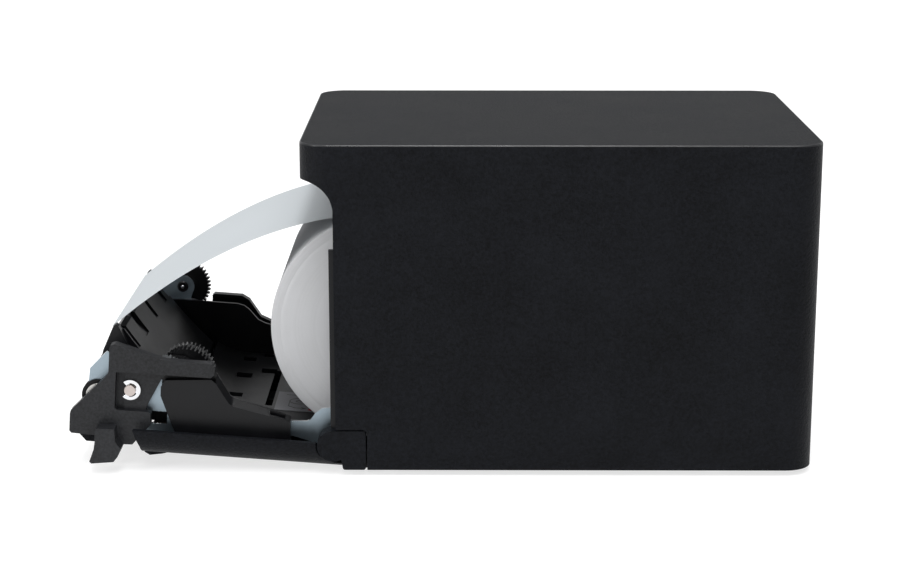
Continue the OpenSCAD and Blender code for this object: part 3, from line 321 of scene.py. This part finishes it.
def cad_mesh(node):
    """A CAD node's own mesh, welded, with its flat faces whole again."""
    bm = bmesh.new()
    bm.from_mesh(frame["nodes"][node].data)
    bmesh.ops.remove_doubles(bm, verts=bm.verts, dist=2e-6)
    if node not in HOLED_FACES:
        bmesh.ops.dissolve_limit(bm, angle_limit=math.radians(0.4), verts=bm.verts, edges=bm.edges)
    return bm


def soften(bm, width, segments=2, angle=28, where=None, material=-1):
    """Rounds the sharp edges. where takes an edge's middle in millimetres and says whether to.
    material is the slot of the new faces, or -1 for that of their neighbours."""
    edges = [e for e in bm.edges if len(e.link_faces) == 2
             and e.calc_face_angle(0) > math.radians(angle)
             and (where is None or where((e.verts[0].co + e.verts[1].co) / 2 / MM))]
    bmesh.ops.bevel(bm, geom=edges, offset=width * MM, segments=segments, profile=0.5,
                    affect="EDGES", clamp_overlap=True, offset_type="OFFSET", material=material)


def softened(node, width, material=None):
    """A copy of a CAD node with rounded edges, which stands for it."""
    bm = cad_mesh(node)
    soften(bm, width)
    return piece(node + "_moulded", bm, BODY_OF[node], SLOTS[node], material, (node,))


def stand_case():
    bm = cad_mesh("case_cover")
    top = max(v.co.z for v in bm.verts) / MM
    soften(bm, 0.5, 3, 28, lambda p: p.z > top - 0.1, 1)
    soften(bm, 0.3, 2, 40, lambda p: p.z < top - 1.2)
    made = piece("case_shell", bm, "chassis", "case_plastic", replaces=("case_cover",))
    made.data.materials.append(SMOOTH_RIM)


def steel_frame():
    """The cover's steel plates, with bright cut edges round their blue-grey faces."""
    bm = cad_mesh("cover_frame")
    for face in bm.faces:
        if abs(face.normal.x) < 0.3:
            face.material_index = 1
    edges = [e for e in bm.edges if len(e.link_faces) == 2 and e.calc_face_angle(0) > math.radians(60)]
    bmesh.ops.bevel(bm, geom=edges, offset=0.12 * MM, segments=1, profile=0.5, affect="EDGES",
                    clamp_overlap=True, material=1)
    made = piece("steel_frame", bm, "cover", "sheet_steel", replaces=("cover_frame",))
    made.data.materials.append(CUT_EDGE)
    flat_faces(made, lambda n: abs(n.x) > 0.999)


def flat_faces(made, where):
    for polygon in made.data.polygons:
        if where(polygon.normal):
            polygon.use_smooth = False


def lathe(bm, profile, centre, segments):
    """Turns a closed profile of (x, radius) in millimetres round a line along X through centre."""
    rings = []
    for i in range(segments):
        angle = 2 * math.pi * i / segments
        rings.append([bm.verts.new(in_world(centre[0] + x, centre[1] + r * math.cos(angle),
                                            centre[2] + r * math.sin(angle))) for x, r in profile])
    count = len(profile)
    for i in range(segments):
        here, there = rings[i], rings[(i + 1) % segments]
        for j in range(count):
            k = (j + 1) % count
            bm.faces.new((here[j], here[k], there[k], there[j]))


def prism(bm, sections):
    """Joins matching outlines of vertices into one closed body."""
    count = len(sections[0])
    for here, there in zip(sections, sections[1:]):
        for j in range(count):
            k = (j + 1) % count
            bm.faces.new((here[j], here[k], there[k], there[j]))
    bm.faces.new(sections[0])
    bm.faces.new(list(reversed(sections[-1])))


def wound_roll():
    """The paper roll: its wound edges stand in slightly uneven steps, with one deeper ring."""
    draws = random.Random(7)
    bm = bmesh.new()
    face = []
    bore_radius, near_rim = 9.02, 0.35
    ring_radius, ring_depth = ROLL_R - 3.5, 0.14
    radius = bore_radius
    while radius < ROLL_R - near_rim:
        deep = ring_depth if abs(radius - ring_radius) < near_rim else draws.uniform(0.02, 0.06)
        face.append((ROLL_HALF - deep, radius))
        radius += draws.uniform(0.35, 1.1)
    face += [(ROLL_HALF - 0.03, ROLL_R - 0.3), (ROLL_HALF - 0.1, ROLL_R - 0.08),
             (ROLL_HALF - 0.25, ROLL_R)]
    profile = face + [(-x, r) for x, r in reversed(face)]
    lathe(bm, profile, (0, ROLL_Y, ROLL_Z), 192)
    piece("wound_paper_roll", bm, "paper_roll", "thermal_paper", roll_paper(), ("paper_roll",))


def wound_core():
    """The cardboard core, with eased edges at both ends."""
    bm = bmesh.new()
    ease = 0.25
    end = [(CORE_HALF - ease, CORE_OUTER), (CORE_HALF, CORE_OUTER - ease),
           (CORE_HALF, CORE_INNER + ease), (CORE_HALF - ease, CORE_INNER)]
    profile = [(-x, r) for x, r in reversed(end)] + end
    lathe(bm, profile, (0, ROLL_Y, ROLL_Z), 96)
    piece("wound_core", bm, "roll_core", "core_card", replaces=("roll_core",))


def strip_point(s, x):
    """A point of the loose paper, s millimetres out from the roll's top."""
    return in_world(x, ROLL_Y - s, STRIP_TOP - STRIP_DROP * s * s)


def paper_band(name, start, end, steps):
    """A length of the loose paper as one open surface, with no thickness."""
    bm = bmesh.new()
    across = 12
    grid = []
    for i in range(steps + 1):
        s = start + (end - start) * i / steps
        grid.append([bm.verts.new(strip_point(s, ROLL_HALF * (2 * j / across - 1)))
                     for j in range(across + 1)])
    for i in range(steps):
        for j in range(across):
            bm.faces.new((grid[i][j], grid[i][j + 1], grid[i + 1][j + 1], grid[i + 1][j]))
    return piece(name, bm, None, "thermal_paper", replaces=("paper_strip",), weighted=False)


def loose_paper():
    """The paper between the roll and the ridge, in two sheets that each cross one joint."""
    lead = paper_band("paper_lead", 0.0, LEAD_END, 16)
    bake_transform(lead)
    strip = paper_band("paper_strip_loose", LEAD_END, STRIP_END, 48)
    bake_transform(strip)


def slope_section(bm, outer, inner):
    """One cut across the slope, from its outer edge to (x, u, v) inside."""
    u, v = outer
    x, inner_u, inner_v = inner
    return [bm.verts.new(on_cover(*p)) for p in
            ((SLOPE_X, u, v), (x, inner_u, inner_v), (x, u, v - SLOPE_DEPTH),
             (SLOPE_FOOT_X, u, v - SLOPE_DEPTH))]


def wall_slope():
    """The slope between the right wall's outer edge and its higher inner rim, open over the rim's slot."""
    edges = list(zip(SLOPE_OUTER, SLOPE_INNER))
    for number, part in enumerate((edges[:4], edges[4:])):
        bm = bmesh.new()
        prism(bm, [slope_section(bm, outer, (SLOPE_INNER_X, *inner)) for outer, inner in part])
        soften(bm, 0.15, 2, 30)
        piece(f"tray_rim_slope_{number}", bm, "cover", "frame_plastic")
    bm = bmesh.new()
    prism(bm, [slope_section(bm, (u, v), (RIM_SLOT_X, u, v + RIM_SLOT_V)) for u, v in
               ((23.4, 6.9), (17.8, 5.75))])
    piece("tray_rim_edge", bm, "cover", "frame_plastic")


def cover_disc(bm, centre, x0, x1, profile, segments=40):
    """A turned part on an axis of the cover: profile lists (share of x0..x1, radius)."""
    world = on_cover(0, *centre) / MM
    lathe(bm, [(x0 + (x1 - x0) * t, r) for t, r in profile], (0, world.y, world.z), segments)


def stud_caps():
    """A black collar and a bright screw end where the feed gear's stud meets its plate."""
    bm = bmesh.new()
    cover_disc(bm, FEED_STUD_AT, -52.0, -51.0, [(0, 0.7), (0, 2.2), (0.6, 2.2), (1, 1.8), (1, 0.7)])
    piece("feed_stud_collar", bm, "cover", "gear_plastic")
    bm = bmesh.new()
    cover_disc(bm, FEED_STUD_AT, -52.2, -50.6, [(0, 0.05), (0, 0.65), (0.8, 0.65), (1, 0.4), (1, 0.05)])
    piece("feed_stud_end", bm, "cover", "screw_steel")


def helix(bm, point_at, wire, turns, per_turn=20, sides=8):
    """Sweeps a round wire along point_at(t), for t from 0 to turns."""
    count = int(turns * per_turn)
    centres = [point_at(turns * i / count) for i in range(count + 1)]
    rings = []
    for i, centre in enumerate(centres):
        along = (centres[min(i + 1, count)] - centres[max(i - 1, 0)]).normalized()
        side = along.orthogonal().normalized() if not rings else (side - along * side.dot(along)).normalized()
        up = along.cross(side)
        rings.append([bm.verts.new(centre + (side * math.cos(a) + up * math.sin(a)) * wire)
                      for a in (2 * math.pi * j / sides for j in range(sides))])
    for here, there in zip(rings, rings[1:]):
        for j in range(sides):
            k = (j + 1) % sides
            bm.faces.new((here[j], here[k], there[k], there[j]))
    bm.faces.new(list(reversed(rings[0])))
    bm.faces.new(rings[-1])


def coil_springs():
    """Real coils in the places of the stacked rings. Lengths here are in metres."""
    low, high = (Vector(c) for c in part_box("head_springs"))
    bm = bmesh.new()
    y = (low.y + high.y) / 2
    turns, radius, end_gap = 3, 0.0024, 0.00018
    rise = (high.z - low.z - 2 * end_gap) / turns
    for x in (-27, 3, 33):
        helix(bm, lambda t, x=x: Vector((x * MM + radius * math.cos(2 * math.pi * t),
                                         y + radius * math.sin(2 * math.pi * t),
                                         low.z + end_gap + rise * t)), 0.00016, turns)
    piece("head_coils", bm, "chassis", "spring_steel", replaces=("head_springs",))
    bm = bmesh.new()
    centre = on_cover(0, *LEVER_AT)
    lever_turns, lever_radius, first_x, length = 2.5, 0.0026, 0.05345, 0.00085
    helix(bm, lambda t: Vector((first_x + length * t / lever_turns,
                                centre.y + lever_radius * math.cos(2 * math.pi * t),
                                centre.z + lever_radius * math.sin(2 * math.pi * t))), 0.0002, lever_turns)
    piece("lever_coil", bm, "cover", "spring_steel", replaces=("lever_spring",))


def flat_strokes(bm, strokes, lift, width):
    """Raised lines on the tray's label. Strokes are lists of (x, u) points."""
    for stroke in strokes:
        for (x0, u0), (x1, u1) in zip(stroke, stroke[1:]):
            along = Vector((x1 - x0, u1 - u0)).normalized() * width / 2
            side = Vector((-along.y, along.x))
            start, end = Vector((x0, u0)) - along, Vector((x1, u1)) + along
            corners = [start + side, end + side, end - side, start - side]
            top = [bm.verts.new(on_cover(*corner, lift)) for corner in corners]
            low = [bm.verts.new(on_cover(*corner, lift - INK_DEPTH)) for corner in corners]
            bm.faces.new(top)
            bm.faces.new(list(reversed(low)))
            for j in range(4):
                k = (j + 1) % 4
                bm.faces.new((top[j], low[j], low[k], top[k]))


def ring_points(x, u, r, count=20):
    return [(x + r * math.cos(2 * math.pi * i / count), u + r * math.sin(2 * math.pi * i / count))
            for i in range(count + 1)]


def label_drawing():
    """A generic drawing of a roll and its paper's way, with one small red mark."""
    bm = bmesh.new()
    flat_strokes(bm, [ring_points(18, 15.5, 3.4), ring_points(18, 15.5, 1.0, 10),
                      [(18, 18.9), (24.5, 18.9), (26.5, 16.5), (26.5, 12.5)],
                      [(25.4, 14.0), (26.5, 12.4), (27.6, 14.0)],
                      [(10.5, 20.5), (10.5, 11.0), (14.0, 10.2), (24.5, 10.2)]], INK_V, 0.3)
    piece("label_lines", bm, "cover", "frame_plastic")
    bm = bmesh.new()
    flat_strokes(bm, [ring_points(27.6, 10.4, 0.55, 12), [(27.3, 10.4), (27.9, 10.4)]], INK_V, 0.9)
    piece("label_mark", bm, "cover", "label_paper", RED_INK)


# ---- Pieces ----

stand_case()
steel_frame()
wound_roll()
wound_core()
loose_paper()
wall_slope()
stud_caps()
coil_springs()
label_drawing()
ROUNDED = {
    "hinge_cheek_right": 0.4, "hinge_cheek_left": 0.4, "inner_wall_right": 0.3,
    "inner_wall_left": 0.3, "cover_panel": 0.35, "front_band": 0.35, "inner_tray": 0.35,
    "mech_body": 0.3, "release_lever": 0.5, "roll_bucket": 0.3,
    "lever_clip": 0.12, "lever_shaft": 0.15, "platen_shaft": 0.12, "platen_bushings": 0.2,
    "base_frame": 0.3, "connector_panel": 0.3, "exit_guide": 0.2,
    "feed_button": 0.35, "power_button": 0.35,
}
for cad_node, radius in ROUNDED.items():
    softened(cad_node, radius, material=BRIGHT_SHAFT if cad_node == "platen_shaft" else None)

# Every CAD node that still shows gets its procedural finish
for cad_node, shown in frame["nodes"].items():
    shown.data.materials.clear()
    shown.data.materials.append(PALETTE[SLOTS[cad_node]])


# ---- Stage ----

def stage():
    bm = bmesh.new()
    bmesh.ops.create_circle(bm, cap_ends=True, segments=64, radius=12)
    mesh = bpy.data.meshes.new("floor")
    bm.to_mesh(mesh)
    bm.free()
    floor = bpy.data.objects.new("floor", mesh)
    scene.collection.objects.link(floor)
    paper = surface("pale_floor", (0.42, 0.42, 0.42), 0.9, level=0.05, grain=0.05, depth=0.001,
                    mottle=0.004)
    shader = paper.node_tree.nodes["Principled BSDF"]
    shader.inputs["Emission Color"].default_value = (1, 1, 1, 1)
    shader.inputs["Emission Strength"].default_value = 0.72
    mesh.materials.append(paper)


def sun_light(name, tilt, strength, spread_angle):
    light = bpy.data.lights.new(name, "SUN")
    light.energy = strength
    light.angle = math.radians(spread_angle)
    holder = bpy.data.objects.new(name, light)
    scene.collection.objects.link(holder)
    holder.rotation_euler = [math.radians(t) for t in tilt]


def area_light(name, place, target, size, watts):
    light = bpy.data.lights.new(name, "AREA")
    light.shape = "RECTANGLE"
    light.size, light.size_y = size
    light.energy = watts
    holder = bpy.data.objects.new(name, light)
    scene.collection.objects.link(holder)
    holder.location = place
    holder.rotation_mode = "QUATERNION"
    holder.rotation_quaternion = (Vector(target) - Vector(place)).to_track_quat("-Z", "Y")


stage()
sun_light("overhead", (0, 12, 0), 1.5, 70)
area_light("back_softbox", (-2.2, 0, 0.78), (0, 0, 0.1), (3.5, 1.1), 4)
area_light("top_strip", (0.38, 0, 1.5), (0, 0, 0.1), (0.25, 2.5), 15)
area_light("front_fill", (0.9, -1.4, 0.7), (0, -0.05, 0.05), (0.25, 1.2), 11)

world = bpy.data.worlds.new("studio")
world.use_nodes = True
world.node_tree.nodes["Background"].inputs["Color"].default_value = (0.97, 0.98, 1, 1)
world.node_tree.nodes["Background"].inputs["Strength"].default_value = 0.3
scene.world = world
scene.view_settings.view_transform = "Standard"

# ---- Camera ----

PITCH, YAW = 0.239073, -0.005203
lens_data = bpy.data.cameras.new("camera")
lens_data.sensor_width = 36
lens_data.lens = 82.83
lens_data.clip_start, lens_data.clip_end = 0.01, 60
camera = bpy.data.objects.new("camera", lens_data)
scene.collection.objects.link(camera)
camera.location = (0.75852, -0.03448, 0.23765)
camera.rotation_mode = "QUATERNION"
looks = Vector((-math.cos(YAW) * math.cos(PITCH), math.sin(YAW) * math.cos(PITCH), -math.sin(PITCH)))
camera.rotation_quaternion = looks.to_track_quat("-Z", "Y")
scene.camera = camera
